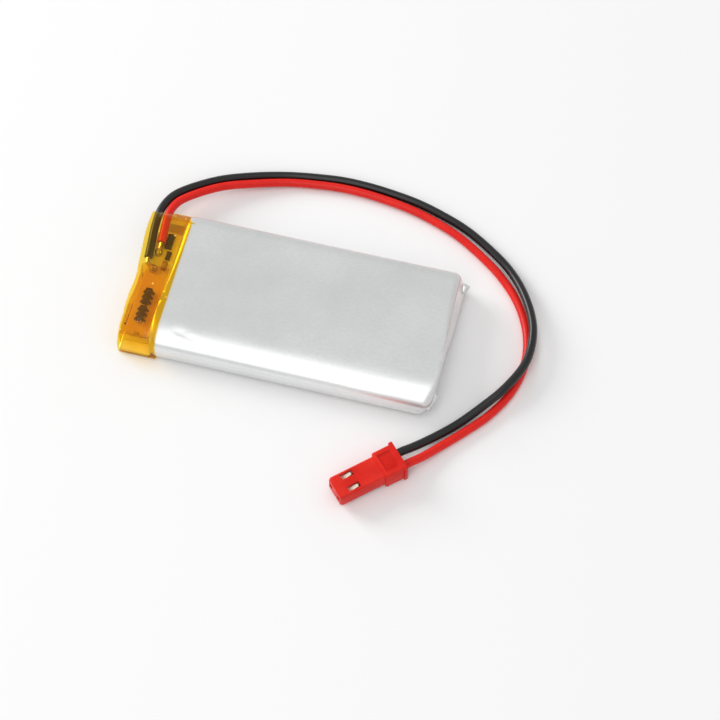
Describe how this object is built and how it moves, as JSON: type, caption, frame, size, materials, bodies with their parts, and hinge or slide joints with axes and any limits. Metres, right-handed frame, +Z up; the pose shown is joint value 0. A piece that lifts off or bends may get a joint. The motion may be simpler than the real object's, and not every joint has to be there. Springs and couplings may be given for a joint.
{
  "type": "lithium polymer battery pack",
  "caption": "Flat lithium polymer pouch cell with a taped protection board at one end and insulated leads that end in a small crimp plug.",
  "frame": {"origin": "bottom centre of the pack without its leads and plug, on the surface that it lies on", "axes": "+X along the pack from the board end to the folded end, +Y towards the side that the leads leave from, +Z up out of the large top face"},
  "size_m": [0.0717, 0.0645, 0.0061],
  "materials": {
    "laminate": "satin aluminium laminate with a clear nylon skin",
    "anode": "graphite coated copper foil",
    "cathode": "oxide coated aluminium foil",
    "separator": "white microporous film",
    "winding_tape": "green polyester tape",
    "aluminium_tab": "rolled aluminium strip",
    "nickel": "rolled nickel strip",
    "sealant": "polypropylene tab sealant",
    "paper": "grey insulating paper",
    "board": "green solder mask on glass fibre",
    "epoxy": "moulded black epoxy",
    "ceramic": "dark glazed ceramic",
    "capacitor": "tan ceramic",
    "solder": "bright solder",
    "polyimide": "clear amber polyimide film",
    "black_insulation": "black extruded PVC",
    "red_insulation": "red extruded PVC",
    "strands": "tinned copper strands",
    "red_nylon": "moulded red nylon",
    "contact": "tinned phosphor bronze"
  },
  "bodies": {
    "root": {"pouch": "laminate", "anode_strip": "anode", "cathode_strip": "cathode", "separator_inner": "separator", "separator_outer": "separator", "roll_tape": "winding_tape", "positive_tab": "aluminium_tab", "negative_tab": "nickel", "positive_tab_sealant": "sealant", "negative_tab_sealant": "sealant", "insulating_paper": "paper", "positive_strip": "nickel", "negative_strip": "nickel", "protection_board": "board", "protection_ic": "epoxy", "mosfet_pair": "epoxy", "sense_resistor": "ceramic", "filter_resistor": "ceramic", "filter_capacitor": "capacitor", "positive_solder": "solder", "negative_solder": "solder", "end_tape": "polyimide", "wrap_tape": "polyimide", "black_lead": "black_insulation", "red_lead": "red_insulation", "black_board_strands": "strands", "red_board_strands": "strands", "black_plug_strands": "strands", "red_plug_strands": "strands", "plug_housing": "red_nylon", "negative_contact": "contact", "positive_contact": "contact"}
  },
  "joints": []
}
